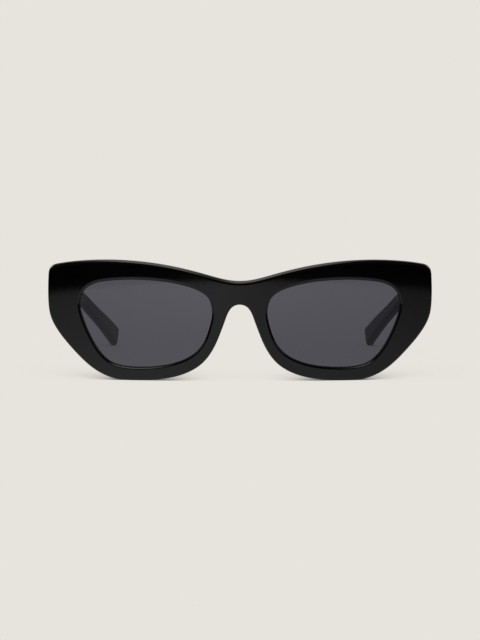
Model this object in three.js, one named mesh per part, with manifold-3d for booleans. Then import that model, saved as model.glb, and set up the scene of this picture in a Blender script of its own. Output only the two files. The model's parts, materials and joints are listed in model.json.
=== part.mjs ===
// Cat-eye sunglasses in black acetate with smoke lenses.
//
// Millimetres, +Z up. +X is the wearer's left, the front faces -Y and the temples run back along +Y.
// z = 0 is the table on which the rims and the temple tips stand, x = 0 is the plane of symmetry.
// The left half is modelled once, and the right half is the same pieces in a mirrored group.
// Inside the half group, y = 0 is the foremost point of the bridge.
import * as THREE from "three";
import { mergeVertices } from "three/addons/utils/BufferGeometryUtils.js";
import { TessellateModifier } from "three/addons/modifiers/TessellateModifier.js";
import Module from "manifold-3d";

const wasm = await Module();
wasm.setup();

// ---------------------------------------------------------------- driving dimensions

// The whole object
const OVERALL_DEPTH = 159.6; // bridge to temple tip

// The front: a flat sheet milled to its outline, then bent round an upright cylinder
const FRONT_THICKNESS = 4.2;
const FRONT_BEND_RADIUS = 250;
const FRONT_EDGE_WIDTH = 1.2; // polished rounding along every edge, seen from the front
const FRONT_EDGE_DEPTH = 0.9;
const FOOT_OUTER_X = 42; // the flat under each rim
const FOOT_INNER_X = 34;

// The end piece: the thicker block behind each outer corner, with a flat back for the hinge
const END_PIECE_X = [61.9, 70.3];
const END_PIECE_Z = [28.6, 42.1];
const END_PIECE_START_Y = 11.2;
const END_PIECE_BACK_Y = 15;
const END_PIECE_CORNER = 2.2;

// The lens and the V groove that holds it
const LENS_THICKNESS = 2;
const LENS_RECESS = 1.1; // from the front's face to the lens's face
const LENS_BITE = 0.5; // how far the lens's edge stands into the rim
const LENS_EDGE_WIDTH = 0.55; // the V of the edge starts just inside the opening
const GROOVE_DEPTH = 0.7;
const GROOVE_WIDTH = 2.5;
const GROOVE_EDGE_WIDTH = 0.84; // the groove closes a little inside the opening

// The nose pads
const PAD_BASE_Y = 4.75;
const PAD_THICKNESS = 2.8;
const PAD_EDGE = 0.8;
const PAD_LOW_Z = 9.35;
const PAD_LOW_X = 11.85;
const PAD_LEAN = 0.4536; // how much nearer the middle the pad gets per millimetre of height
const PAD_FLARE = 0.17; // how much wider the pads get per millimetre of depth

// The temple
const TEMPLE_GAP = 0.15; // between the end piece and the temple's front end
const TEMPLE_FRONT_Y = END_PIECE_BACK_Y + TEMPLE_GAP;
const TEMPLE_MIDDLE_X = 68.9;
const TEMPLE_THICKNESS = 4;
const TEMPLE_TIP_THICKNESS = 3.4;
const TEMPLE_ROUNDING = 1.5;
const TEMPLE_END_ROUNDING = 0.9;
const TEMPLE_BEND_Y = [84.5, 112.5]; // where the tip's inward bend starts and ends
const TEMPLE_BEND_RADIUS = 129.3;

// The core wire inside the temple
const WIRE_THICKNESS = 1.1;
const WIRE_HEIGHT = 1.8;
const WIRE_OFFSET = 0.6; // outboard of the temple's middle
const WIRE_ROUNDING = 0.3;
const WIRE_CLEARANCE = 0.1;
const WIRE_END_SHARE = 0.65; // how far down the temple it reaches

// The five-barrel hinge
const HINGE_STANDOFF = 1.6; // from the pin to the end piece's back, and to the temple's inner face
const HINGE_X = TEMPLE_MIDDLE_X - TEMPLE_THICKNESS / 2 - HINGE_STANDOFF;
const HINGE_Y = END_PIECE_BACK_Y + HINGE_STANDOFF;
const HINGE_Z = 34.8; // the middle of the stack of barrels
const BARREL_RADIUS = 1.5;
const BARREL_HEIGHT = 1.1;
const BARREL_GAP = 0.1;
const BARREL_COUNT = 5;
const BARREL_PITCH = BARREL_HEIGHT + BARREL_GAP;
const STACK_HEIGHT = BARREL_COUNT * BARREL_PITCH - BARREL_GAP;
const BARREL_WEB = 2.2; // width of the web between a barrel and its leaf
const PIN_HOLE_RADIUS = 0.85;
const LEAF_THICKNESS = 0.8;
const LEAF_HEIGHT = 6.6;
const LEAF_CORNER = 0.9;
const LEAF_CLEARANCE = 0.05;
const FRONT_LEAF_X = [61.7, 69.2];
const TEMPLE_LEAF_Y = [15.3, 27.2];

// The hinge screw
const SCREW_RADIUS = 0.7;
const SCREW_HEAD_RADIUS = 1.2;
const SCREW_HEAD_HEIGHT = 0.7;
const SCREW_HEAD_CHAMFER = 0.2;
const SCREW_SLOT_WIDTH = 0.35;
const SCREW_SLOT_DEPTH = 0.35;

// The rivets
const RIVET_RADIUS = 0.5;
const RIVET_HEAD_RADIUS = 0.85;
const RIVET_HEAD_HEIGHT = 0.4;
const RIVET_HEAD_RIM = 0.05; // the straight rim above the countersink
const RIVET_CLEARANCE = 0.1;
const FRONT_RIVET_LENGTH = 3.4;
const TEMPLE_RIVET_LENGTH = 1.5;
const FRONT_RIVET_X = { inner: 62.8, outer: 68.1 };
const TEMPLE_RIVET_Y = { front: 19.8, rear: 25.4 };

// How finely the curved shapes are faceted
const BROW_POINTS = 110;
const NOSE_POINTS = 40;
const OPENING_POINTS = 48;
const PAD_POINTS = 16;
const EDGE_STEPS = 2;
const FRONT_FACET = 18; // longest facet before the front is bent
const GROOVE_FACET = 12;
const LENS_FACET = 9;
const PAD_FACET = 5;
const FACET_PASSES = 12;
const TEMPLE_STATIONS = 26;
const TEMPLE_CORNER_POINTS = 3;
const WIRE_STATIONS = 14;
const WIRE_CORNER_POINTS = 2;
const BARREL_SEGMENTS = 8;
const SCREW_SIDES = 16;
const RIVET_SIDES = 12;

// Construction
const WELD_DISTANCE = 1e-4;
const CUTTER_SIZE = 100;
const CUTTER_OVERRUN = 1; // how far a cutting tool stands out of the face it cuts

// ---------------------------------------------------------------- materials

const material = (color, roughness, metalness, extra = {}) =>
  new THREE.MeshStandardMaterial({ color, roughness, metalness, ...extra });
const BLACK_ACETATE = material(0x0b0b0c, 0.12, 0);
const SMOKE_LENS = material(0x2a2a2d, 0.05, 0, { transparent: true, opacity: 0.9 });
const NICKEL_SILVER = material(0xb9b4a6, 0.3, 1);
const STEEL = material(0xc6c7c9, 0.25, 1);

// ---------------------------------------------------------------- solids

function solidOf(geometry) {
  const bare = geometry.clone();
  bare.deleteAttribute("normal");
  bare.deleteAttribute("uv");
  const merged = mergeVertices(bare, WELD_DISTANCE);
  const shell = new wasm.Mesh({
    numProp: 3,
    vertProperties: merged.attributes.position.array,
    triVerts: new Uint32Array(merged.index.array),
  });
  return new wasm.Manifold(shell);
}

function geometryOf(solid) {
  const shell = solid.getMesh();
  const geometry = new THREE.BufferGeometry();
  geometry.setAttribute("position", new THREE.BufferAttribute(shell.vertProperties, 3));
  geometry.setIndex(new THREE.BufferAttribute(shell.triVerts, 1));
  geometry.computeVertexNormals();
  return geometry;
}

const cut = (body, ...tools) =>
  geometryOf(tools.reduce((left, tool) => left.subtract(solidOf(tool)), solidOf(body)));
const join = (...bodies) =>
  geometryOf(bodies.map(solidOf).reduce((sum, body) => sum.add(body)));

function mesh(name, geometry, look) {
  const made = new THREE.Mesh(geometry, look);
  made.name = name;
  return made;
}

// ---------------------------------------------------------------- shape tools

const point = ([x, y]) => new THREE.Vector3(x, y, 0);
const mirrored = (points) => points.map(([x, y]) => [-x, y]).reverse();

// Evenly spaced points of a smooth curve through the given points.
function smoothLine(points, count, closed = false) {
  const curve = new THREE.CatmullRomCurve3(points.map(point), closed, "centripetal");
  const spaced = curve.getSpacedPoints(count).map((p) => [p.x, p.y]);
  return closed ? spaced.slice(0, -1) : spaced;
}

// A closed outline moved outwards by a distance (inwards if negative).
function offsetOutline(outline, distance) {
  const count = outline.length;
  return outline.map(([x, y], i) => {
    const [ax, ay] = outline[(i + count - 1) % count];
    const [bx, by] = outline[(i + 1) % count];
    const length = Math.hypot(bx - ax, by - ay);
    return [x + ((by - ay) / length) * distance, y - ((bx - ax) / length) * distance];
  });
}

const shapeOf = (outline) => new THREE.Shape(outline.map(([x, y]) => new THREE.Vector2(x, y)));

function roundedRectangle([lowX, highX], [lowY, highY], radius) {
  const shape = new THREE.Shape();
  shape.absarc(highX - radius, highY - radius, radius, 0, Math.PI / 2);
  shape.absarc(lowX + radius, highY - radius, radius, Math.PI / 2, Math.PI);
  shape.absarc(lowX + radius, lowY + radius, radius, Math.PI, 1.5 * Math.PI);
  shape.absarc(highX - radius, lowY + radius, radius, 1.5 * Math.PI, 2 * Math.PI);
  return shape;
}

// A shape drawn in x and y, extruded from z = 0, whose edges are rounded inside its outline.
function slab(shape, thickness, edgeWidth = 0, edgeDepth = 0, edgeSteps = 1, curveSegments = 4) {
  const rounded = edgeWidth > 0;
  const geometry = new THREE.ExtrudeGeometry(shape, {
    depth: thickness - 2 * edgeDepth,
    bevelEnabled: rounded,
    bevelSize: edgeWidth,
    bevelOffset: -edgeWidth,
    bevelThickness: edgeDepth,
    bevelSegments: edgeSteps,
    curveSegments,
  });
  return geometry.translate(0, 0, rounded ? edgeDepth : 0);
}

// A slab drawn as x and z, that fills y from front to back.
const uprightSlab = (shape, frontY, thickness, ...edges) =>
  slab(shape, thickness, ...edges)
    .rotateX(Math.PI / 2)
    .translate(0, frontY + thickness, 0);

// A slab drawn as y and z, that fills x from the given side outwards.
const sideSlab = (shape, lowX, thickness, ...edges) =>
  slab(shape, thickness, ...edges)
    .rotateY(Math.PI / 2)
    .rotateX(Math.PI / 2)
    .translate(lowX, 0, 0);

function box([x0, x1], [y0, y1], [z0, z1]) {
  const geometry = new THREE.BoxGeometry(x1 - x0, y1 - y0, z1 - z0);
  return geometry.translate((x0 + x1) / 2, (y0 + y1) / 2, (z0 + z1) / 2);
}

// Splits long facets, then moves every vertex by a rule that changes it in place.
function deform(geometry, longestFacet, rule) {
  const fine = new TessellateModifier(longestFacet, FACET_PASSES).modify(geometry);
  const positions = fine.attributes.position;
  const vertex = new THREE.Vector3();
  for (let i = 0; i < positions.count; i++) {
    vertex.fromBufferAttribute(positions, i);
    rule(vertex);
    positions.setXYZ(i, vertex.x, vertex.y, vertex.z);
  }
  return fine;
}

// ---------------------------------------------------------------- the front

const frontSag = (x) => FRONT_BEND_RADIUS - Math.sqrt(FRONT_BEND_RADIUS ** 2 - x * x);
const bendFront = (vertex) => {
  vertex.y += frontSag(vertex.x);
};

// The right way round from the foot's outer end, up the outer side and over to the bridge.
const OUTER_EDGE = [
  [FOOT_OUTER_X, 0],
  [47.35, 0.6],
  [53.05, 2.9],
  [58.3, 6.7],
  [63.85, 12.3],
  [68.6, 18.1],
  [71.5, 23.7],
  [72.3, 28.8],
  [72.4, 34.3],
  [72.25, 38.8],
  [71.95, 41.1],
  [70.75, 42.65],
  [68.2, 43.45],
  [61.95, 44.35],
  [51, 45],
  [39, 44.6],
  [27, 43.05],
  [15, 40.3],
  [6, 37.8],
];
// From the middle of the nose arch down to the foot's inner end.
const NOSE_EDGE = [
  [2.5, 27.85],
  [4.3, 25.6],
  [5.55, 22.4],
  [7.2, 18],
  [9.05, 13.6],
  [11.9, 8.9],
  [15.6, 5.3],
  [20.95, 2.5],
  [27, 0.9],
  [FOOT_INNER_X, 0],
];
const BRIDGE_TOP_Z = 37.15;
const NOSE_ARCH_Z = 28.6;

const LENS_EDGE = [
  [10.35, 25.35],
  [10.95, 21.55],
  [12.65, 16.2],
  [15.6, 11.55],
  [20.25, 8.15],
  [27.8, 5.75],
  [35.3, 4.95],
  [42.85, 5.15],
  [48.65, 6.85],
  [52.75, 10.6],
  [56.05, 15.9],
  [58.75, 22.05],
  [60.2, 27.4],
  [59.9, 31.1],
  [58.2, 33.9],
  [54.8, 36.05],
  [50.25, 37.1],
  [42.8, 37.7],
  [35.3, 37.65],
  [27.8, 37],
  [20.3, 35.5],
  [14.7, 33.4],
  [11.4, 30.4],
];

function frontOutline() {
  const brow = [...OUTER_EDGE, [0, BRIDGE_TOP_Z], ...mirrored(OUTER_EDGE)];
  const nose = [...mirrored(NOSE_EDGE), [0, NOSE_ARCH_Z], ...NOSE_EDGE];
  return shapeOf([...smoothLine(brow, BROW_POINTS), ...smoothLine(nose, NOSE_POINTS)]);
}

const lensOutline = (offset) =>
  offsetOutline(smoothLine(LENS_EDGE, OPENING_POINTS, true), offset);

function lensGroove() {
  const frontY = LENS_RECESS + (LENS_THICKNESS - GROOVE_WIDTH) / 2;
  const edges = [GROOVE_EDGE_WIDTH, GROOVE_WIDTH / 2];
  const groove = uprightSlab(shapeOf(lensOutline(GROOVE_DEPTH)), frontY, GROOVE_WIDTH, ...edges);
  return deform(groove, GROOVE_FACET, bendFront);
}

function lens() {
  const edges = [LENS_EDGE_WIDTH, LENS_THICKNESS / 2];
  const blank = uprightSlab(shapeOf(lensOutline(LENS_BITE)), LENS_RECESS, LENS_THICKNESS, ...edges);
  return deform(blank, LENS_FACET, bendFront);
}

const mirrorX = (geometry) => geometryOf(solidOf(geometry).mirror([1, 0, 0]));

function bothSides(geometry) {
  return [geometry, mirrorX(geometry)];
}

function endPiece() {
  const shape = roundedRectangle(END_PIECE_X, END_PIECE_Z, END_PIECE_CORNER);
  return uprightSlab(shape, END_PIECE_START_Y, END_PIECE_BACK_Y - END_PIECE_START_Y);
}

function frontFrame() {
  const outline = frontOutline();
  const opening = lensOutline(0);
  outline.holes = [shapeOf(opening), shapeOf(mirrored(opening))];
  const edges = [FRONT_EDGE_WIDTH, FRONT_EDGE_DEPTH, EDGE_STEPS];
  const flatSheet = uprightSlab(outline, 0, FRONT_THICKNESS, ...edges);
  const sheet = deform(flatSheet, FRONT_FACET, bendFront);
  const withEnds = join(sheet, ...bothSides(endPiece()));
  const pockets = [
    lensGroove(),
    frontLeafPlate(LEAF_CLEARANCE),
    ...Object.values(FRONT_RIVET_X).map((x) => frontRivet(x, RIVET_CLEARANCE)),
  ];
  return cut(withEnds, ...pockets.flatMap(bothSides));
}

// ---------------------------------------------------------------- the nose pads

// The pad's outline in side view.
const PAD_SIDE = [
  [PAD_BASE_Y, PAD_LOW_Z],
  [8.2, 10.35],
  [10.8, 12.95],
  [11.6, 16.15],
  [10.4, 19.75],
  [7.8, 22.55],
  [PAD_BASE_Y, 23.55],
];

function nosePad() {
  const shape = shapeOf(smoothLine(PAD_SIDE, PAD_POINTS));
  const blank = sideSlab(shape, 0, PAD_THICKNESS, PAD_EDGE, PAD_EDGE, EDGE_STEPS);
  return deform(blank, PAD_FACET, (vertex) => {
    const lean = PAD_LEAN * (vertex.z - PAD_LOW_Z);
    vertex.x += PAD_LOW_X - lean + PAD_FLARE * (vertex.y - PAD_BASE_Y);
  });
}

// ---------------------------------------------------------------- the temple

// Points down the temple's middle in side view: depth, height above the table, and how tall it is.
const TEMPLE_LINE = [
  [12, 35.7, 13.7],
  [30, 33.9, 10.2],
  [50, 31.5, 7.3],
  [77.5, 28.4, 5.5],
  [102.8, 25.15, 5.05],
  [118.2, 19.75, 5.7],
  [131.4, 14.65, 6.3],
  [144.6, 9.45, 7.4],
  [158.1, 3.6, 8.7],
];
const templeCurve = new THREE.CatmullRomCurve3(
  TEMPLE_LINE.map((entry) => new THREE.Vector3(...entry)),
  false,
  "centripetal",
);

// How far the temple's middle has moved inwards at a given depth.
function templeBend(y) {
  const [start, end] = TEMPLE_BEND_Y;
  const run = Math.min(Math.max(y - start, 0), end - start);
  const rise = Math.sqrt(TEMPLE_BEND_RADIUS ** 2 - run * run);
  const straight = Math.max(y - end, 0) * (run / rise);
  return TEMPLE_BEND_RADIUS - rise + straight;
}

// A rounded rectangle as points, from the top round by the outboard side.
function section(width, height, radius, cornerPoints) {
  const points = [];
  for (const [signX, signZ, turn] of [[1, 1, 90], [1, -1, 0], [-1, -1, -90], [-1, 1, -180]]) {
    for (let i = 0; i < cornerPoints; i++) {
      const angle = THREE.MathUtils.degToRad(turn - (90 * i) / (cornerPoints - 1));
      points.push([
        signX * (width / 2 - radius) + radius * Math.cos(angle),
        signZ * (height / 2 - radius) + radius * Math.sin(angle),
      ]);
    }
  }
  return points;
}

// A closed bar down the temple's line to the given share of its length. The rule gives the
// section at each station from the share passed and the temple's height there.
function barAlongTemple(stations, length, offsetX, sectionAt) {
  const around = sectionAt(0, 1).length;
  const geometry = new THREE.CylinderGeometry(1, 1, 1, around, stations);
  const positions = geometry.attributes.position;
  for (let i = 0; i < positions.count; i++) {
    const share = positions.getY(i) + 0.5;
    const angle = Math.atan2(positions.getX(i), positions.getZ(i));
    const onWall = Math.hypot(positions.getX(i), positions.getZ(i)) > 0.5;
    const place = Math.round((angle / (2 * Math.PI) + 1) * around) % around;
    const middle = templeCurve.getPointAt(share * length);
    const along = templeCurve.getTangentAt(share * length);
    const slope = Math.atan2(along.y, along.x);
    const [x, up] = onWall ? sectionAt(share, middle.z)[place] : [0, 0];
    const y = middle.x - up * Math.sin(slope);
    const z = middle.y + up * Math.cos(slope);
    positions.setXYZ(i, TEMPLE_MIDDLE_X + offsetX + x - templeBend(y), y, z);
  }
  return geometry;
}

function templeBlank() {
  return barAlongTemple(TEMPLE_STATIONS, 1, 0, (share, height) => {
    const slim = THREE.MathUtils.lerp(TEMPLE_THICKNESS, TEMPLE_TIP_THICKNESS, share);
    const toEnd = (1 - share) * TEMPLE_STATIONS;
    const rounding = toEnd < 0.5 ? TEMPLE_END_ROUNDING : 0;
    const radius = TEMPLE_ROUNDING - rounding / 2;
    return section(slim - rounding, height - rounding, radius, TEMPLE_CORNER_POINTS);
  });
}

// The wire, or with a clearance the channel that holds it.
function coreWire(clearance) {
  const length = WIRE_END_SHARE + clearance / templeCurve.getLength();
  const width = WIRE_THICKNESS + 2 * clearance;
  const height = WIRE_HEIGHT + 2 * clearance;
  return barAlongTemple(WIRE_STATIONS, length, WIRE_OFFSET, () =>
    section(width, height, WIRE_ROUNDING, WIRE_CORNER_POINTS),
  );
}

// Everything ahead of the temple's flat front end.
const aheadOfTemple = () =>
  box([0, CUTTER_SIZE], [TEMPLE_FRONT_Y - CUTTER_SIZE, TEMPLE_FRONT_Y], [0, CUTTER_SIZE]);

function temple() {
  const rivets = Object.values(TEMPLE_RIVET_Y).map((y) => templeRivet(y, RIVET_CLEARANCE));
  return cut(
    templeBlank(),
    aheadOfTemple(),
    coreWire(WIRE_CLEARANCE),
    templeLeafPlate(LEAF_CLEARANCE),
    ...rivets,
  );
}

// ---------------------------------------------------------------- the hinge

const LEAF_Z = [HINGE_Z - LEAF_HEIGHT / 2, HINGE_Z + LEAF_HEIGHT / 2];
const widened = ([low, high], by) => [low - by, high + by];

// The plate let into the end piece's back.
function frontLeafPlate(clearance) {
  const shape = roundedRectangle(
    widened(FRONT_LEAF_X, clearance),
    widened(LEAF_Z, clearance),
    LEAF_CORNER,
  );
  const depth = LEAF_THICKNESS + 2 * clearance;
  return uprightSlab(shape, END_PIECE_BACK_Y - LEAF_THICKNESS - clearance, depth);
}

// The plate let into the temple's inner face.
function templeLeafPlate(clearance) {
  const shape = roundedRectangle(
    widened(TEMPLE_LEAF_Y, clearance),
    widened(LEAF_Z, clearance),
    LEAF_CORNER,
  );
  return sideSlab(shape, HINGE_X + HINGE_STANDOFF - clearance, LEAF_THICKNESS + 2 * clearance);
}

// One barrel with the web that joins it to its leaf, seen from above. The web leaves towards -Y.
function barrel(level) {
  const shape = new THREE.Shape();
  const foot = HINGE_STANDOFF + LEAF_THICKNESS / 2;
  const below = Math.acos(BARREL_WEB / 2 / BARREL_RADIUS);
  shape.absarc(0, 0, BARREL_RADIUS, -below, Math.PI + below);
  shape.lineTo(-BARREL_WEB / 2, -foot);
  shape.lineTo(BARREL_WEB / 2, -foot);
  shape.holes = [new THREE.Path().absarc(0, 0, PIN_HOLE_RADIUS, 0, 2 * Math.PI)];
  const bottom = level * BARREL_PITCH - STACK_HEIGHT / 2;
  return slab(shape, BARREL_HEIGHT, 0, 0, 0, BARREL_SEGMENTS).translate(0, 0, bottom);
}

// The barrels at the given levels, turned so that their webs reach their own leaf.
const barrels = (levels, turn) =>
  levels.map((level) => barrel(level).rotateZ(turn).translate(HINGE_X, HINGE_Y, HINGE_Z));

function frontLeaf() {
  const rivets = Object.values(FRONT_RIVET_X).map((x) => frontRivet(x, RIVET_CLEARANCE));
  return cut(join(frontLeafPlate(0), ...barrels([0, 2, 4], 0)), ...rivets);
}

function templeLeaf() {
  const rivets = Object.values(TEMPLE_RIVET_Y).map((y) => templeRivet(y, RIVET_CLEARANCE));
  return cut(join(templeLeafPlate(0), ...barrels([1, 3], Math.PI / 2)), ...rivets);
}

function hingeScrew() {
  const bottom = HINGE_Z - STACK_HEIGHT / 2;
  const seat = HINGE_Z + STACK_HEIGHT / 2 + LEAF_CLEARANCE;
  const top = seat + SCREW_HEAD_HEIGHT;
  const profile = [
    [0, bottom],
    [SCREW_RADIUS, bottom],
    [SCREW_RADIUS, seat],
    [SCREW_HEAD_RADIUS, seat],
    [SCREW_HEAD_RADIUS, top - SCREW_HEAD_CHAMFER],
    [SCREW_HEAD_RADIUS - SCREW_HEAD_CHAMFER, top],
    [0, top],
  ];
  const turned = lathe(profile, SCREW_SIDES).rotateX(Math.PI / 2);
  const half = SCREW_SLOT_WIDTH / 2;
  const reach = SCREW_HEAD_RADIUS + CUTTER_OVERRUN;
  const slotZ = [top - SCREW_SLOT_DEPTH, top + CUTTER_OVERRUN];
  const slot = box([-reach, reach], [-half, half], slotZ);
  return cut(turned, slot).translate(HINGE_X, HINGE_Y, 0);
}

// A solid of revolution about Y from a profile of [radius, height] points.
const lathe = (profile, segments) =>
  new THREE.LatheGeometry(profile.map(([r, h]) => new THREE.Vector2(r, h)), segments);

// A rivet along +Y whose countersunk head is flush at y = 0. A clearance makes its hole.
function rivet(length, clearance) {
  const head = RIVET_HEAD_RADIUS + clearance;
  const shank = RIVET_RADIUS + clearance;
  const top = clearance > 0 ? CUTTER_OVERRUN : 0;
  const profile = [
    [0, -length - clearance],
    [shank, -length - clearance],
    [shank, -RIVET_HEAD_HEIGHT - clearance],
    [head, -RIVET_HEAD_RIM],
    [head, top],
    [0, top],
  ];
  return lathe(profile, RIVET_SIDES);
}

const frontRivet = (x, clearance) =>
  rivet(FRONT_RIVET_LENGTH, clearance).translate(x, END_PIECE_BACK_Y, HINGE_Z);

const templeRivet = (y, clearance) =>
  rivet(TEMPLE_RIVET_LENGTH, clearance)
    .rotateZ(Math.PI / 2)
    .translate(HINGE_X + HINGE_STANDOFF, y, HINGE_Z);

// ---------------------------------------------------------------- the assembly

function sidePieces(side) {
  const group = new THREE.Group();
  group.add(
    mesh(`lens_${side}`, lens(), SMOKE_LENS),
    mesh(`nose_pad_${side}`, nosePad(), BLACK_ACETATE),
    mesh(`hinge_front_leaf_${side}`, frontLeaf(), NICKEL_SILVER),
    mesh(`hinge_screw_${side}`, hingeScrew(), STEEL),
    mesh(`temple_${side}`, temple(), BLACK_ACETATE),
    mesh(`core_wire_${side}`, cut(coreWire(0), aheadOfTemple()), NICKEL_SILVER),
    mesh(`hinge_temple_leaf_${side}`, templeLeaf(), NICKEL_SILVER),
  );
  for (const [place, x] of Object.entries(FRONT_RIVET_X)) {
    group.add(mesh(`front_rivet_${place}_${side}`, frontRivet(x, 0), STEEL));
  }
  for (const [place, y] of Object.entries(TEMPLE_RIVET_Y)) {
    group.add(mesh(`temple_rivet_${place}_${side}`, templeRivet(y, 0), STEEL));
  }
  return group;
}

const left = sidePieces("left");
const right = sidePieces("right");
right.scale.x = -1;

const glasses = new THREE.Group();
glasses.add(mesh("front_frame", frontFrame(), BLACK_ACETATE), left, right);
glasses.position.y = -OVERALL_DEPTH / 2;

const root = new THREE.Group();
root.add(glasses);

export default root;
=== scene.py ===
"""Looks of the cat-eye sunglasses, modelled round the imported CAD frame.

Shapes are worked out in millimetres in the CAD's own axes (+X wearer's left, -Y forwards, +Z up)
and become metres when a piece is made. The left half is modelled, and the right half is its mirror.
"""
import json
import math

import bmesh
import bpy
import numpy as np
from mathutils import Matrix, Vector
from mathutils.geometry import delaunay_2d_cdt


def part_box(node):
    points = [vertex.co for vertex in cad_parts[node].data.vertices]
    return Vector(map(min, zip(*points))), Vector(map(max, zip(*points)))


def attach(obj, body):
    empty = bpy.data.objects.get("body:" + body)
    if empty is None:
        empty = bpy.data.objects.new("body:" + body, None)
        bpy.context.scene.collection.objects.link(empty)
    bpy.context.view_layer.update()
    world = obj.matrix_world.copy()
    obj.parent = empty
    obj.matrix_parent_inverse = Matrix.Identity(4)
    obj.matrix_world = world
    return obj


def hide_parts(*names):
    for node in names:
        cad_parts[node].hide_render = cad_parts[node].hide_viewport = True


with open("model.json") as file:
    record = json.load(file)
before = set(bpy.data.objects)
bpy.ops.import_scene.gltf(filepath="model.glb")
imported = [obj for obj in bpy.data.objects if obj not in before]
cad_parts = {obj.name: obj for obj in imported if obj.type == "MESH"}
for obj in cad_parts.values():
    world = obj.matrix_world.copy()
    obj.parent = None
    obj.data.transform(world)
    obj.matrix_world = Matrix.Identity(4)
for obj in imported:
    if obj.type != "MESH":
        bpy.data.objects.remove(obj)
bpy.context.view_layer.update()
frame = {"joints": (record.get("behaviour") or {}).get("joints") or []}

METRES = 0.001
SIDES = {"left": 1, "right": -1}


def cad_box(node):
    """Lowest and highest corner of a CAD node in millimetres."""
    low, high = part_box(node)
    return np.array(low) / METRES, np.array(high) / METRES


# ---------------------------------------------------------------- dimensions

# The front sheet
FRONT_Y = cad_box("front_frame")[0][1]
FRONT_BACK_Y = cad_box("front_frame")[1][1]  # flat back of the end pieces
FRONT_THICKNESS = 4.2
FRONT_BEND_RADIUS = 250
FACE_STEP = 1.9  # spacing of the points inside a face
OUTLINE_POINTS = 680
OPENING_POINTS = 210
CURVE_STEPS = 60  # steps between two given points of a curve

# Polished rounding of the edges: (width seen from the front, depth)
OUTER_EDGE_FRONT = (0.85, 0.65)
BROW_EDGE_FRONT = (1.6, 1.3)  # the brow's top edge is worked rounder
OUTER_EDGE_BACK = (0.8, 0.6)
RIM_EDGE_FRONT = (0.85, 1.15)
RIM_TOP_EDGE_FRONT = (1.1, 0.85)  # the lens opening's upper edge is rounder too
RIM_EDGE_BACK = (0.7, 0.5)
EDGE_STEPS = 12
# Where the edge turns from plain to upper, as the upward part of its normal
BROW_TURNS_FROM = 0.15
RIM_TURNS_FROM = 0.45
UPPER_EDGE_FROM = 0.85

# The end block behind each outer corner
BLOCK_X = (61.9, 70.4)
BLOCK_Z = (28.6, 42.0)
BLOCK_CORNER = 2.4
BLOCK_FILLET = 0.3
BLOCK_FILLET_STEPS = 5

# The lens and its groove
LENS_RECESS = 1.5
LENS_THICKNESS = 1.8
LENS_BITE = 0.5
LENS_FACE_BITE = 0.04
LENS_RINGS = 21
GROOVE_DEPTH = 0.62
GROOVE_FLAT = 0.3
GROOVE_WIDTH = 1.9

# The temple
TEMPLE_FRONT_Y = cad_box("temple_left")[0][1]
TEMPLE_MIDDLE_X = 68.9
TEMPLE_THICKNESS = 4.0
TEMPLE_TIP_THICKNESS = 3.4
TEMPLE_ROUNDING = 1.5
TEMPLE_CROWN = 0.06
TEMPLE_BEND_Y = (FRONT_Y + 84.5, FRONT_Y + 112.5)
TEMPLE_BEND_RADIUS = 129.3
TEMPLE_END_ROUNDING = 1.1
TEMPLE_BUTT_ROUNDING = 0.25
TEMPLE_LEAST_ROUNDING = 0.3
TEMPLE_UPRIGHT_RUN = 25  # the butt is upright, and the sections lean with the temple after this run
TEMPLE_LENGTH_STEPS = 150
TEMPLE_CURVE_POINTS = 700
TEMPLE_END_STEPS = 9

# The core wire
WIRE_HALF = (0.55, 0.9)
WIRE_CORNER = 0.3
WIRE_OFFSET_X = 0.6
WIRE_SHARE = 0.62  # of the temple's length
WIRE_STEPS = 60

# The hinge
HINGE_X, HINGE_Y, HINGE_Z = (v / METRES for v in frame["joints"][0]["pos_m"])
HINGE_STANDOFF = 1.6
BARREL_RADIUS = 1.44
BARREL_HEIGHT = 1.1
BARREL_PITCH = 1.2
BARREL_COUNT = 5
BARREL_WEB = 2.2
PIN_HOLE_RADIUS = 0.85
LEAF_THICKNESS = 0.8
LEAF_HEIGHT = 6.6
LEAF_CORNER = 0.9
LEAF_PROUD = 0.02  # how far a leaf stands out of the acetate
LEAF_BEVEL = 0.1
FRONT_LEAF_HALF_WIDTH = 3.75
FRONT_LEAF_MIDDLE_X = HINGE_X + 0.15
FRONT_LEAF_BACK_Y = FRONT_BACK_Y + LEAF_PROUD
TEMPLE_LEAF_Y = (FRONT_Y + 15.3, FRONT_Y + 27.2)
TEMPLE_LEAF_FACE_X = HINGE_X + HINGE_STANDOFF - LEAF_PROUD - TEMPLE_CROWN
LEAF_Z = (HINGE_Z - LEAF_HEIGHT / 2, HINGE_Z + LEAF_HEIGHT / 2)
BARREL_BEVEL = 0.08
BARREL_STEPS = 40
STACK_HEIGHT = BARREL_COUNT * BARREL_PITCH - 0.1
SCREW_RADIUS = 0.7
SCREW_SEAT_GAP = 0.05
SCREW_TAPER = 0.15
SCREW_EDGE = 0.1
SCREW_STEPS = 48
SCREW_HEAD_RADIUS = 1.2
SCREW_HEAD_HEIGHT = 0.74
SCREW_SLOT_WIDTH = 0.36
SCREW_SLOT_DEPTH = 0.36
SCREW_HEAD_BEVEL = 0.12
# From the rivet's foot to the crown of its head: (radius, height above the leaf)
RIVET_PROFILE = [
    (0, -1.4), (0.45, -1.4), (0.5, -1.3), (0.5, -0.4), (0.82, -0.08), (0.84, -0.03), (0.8, 0.01),
    (0.68, 0.03), (0.45, 0.042), (0.2, 0.048), (0, 0.05),
]


# ---------------------------------------------------------------- curves

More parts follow.
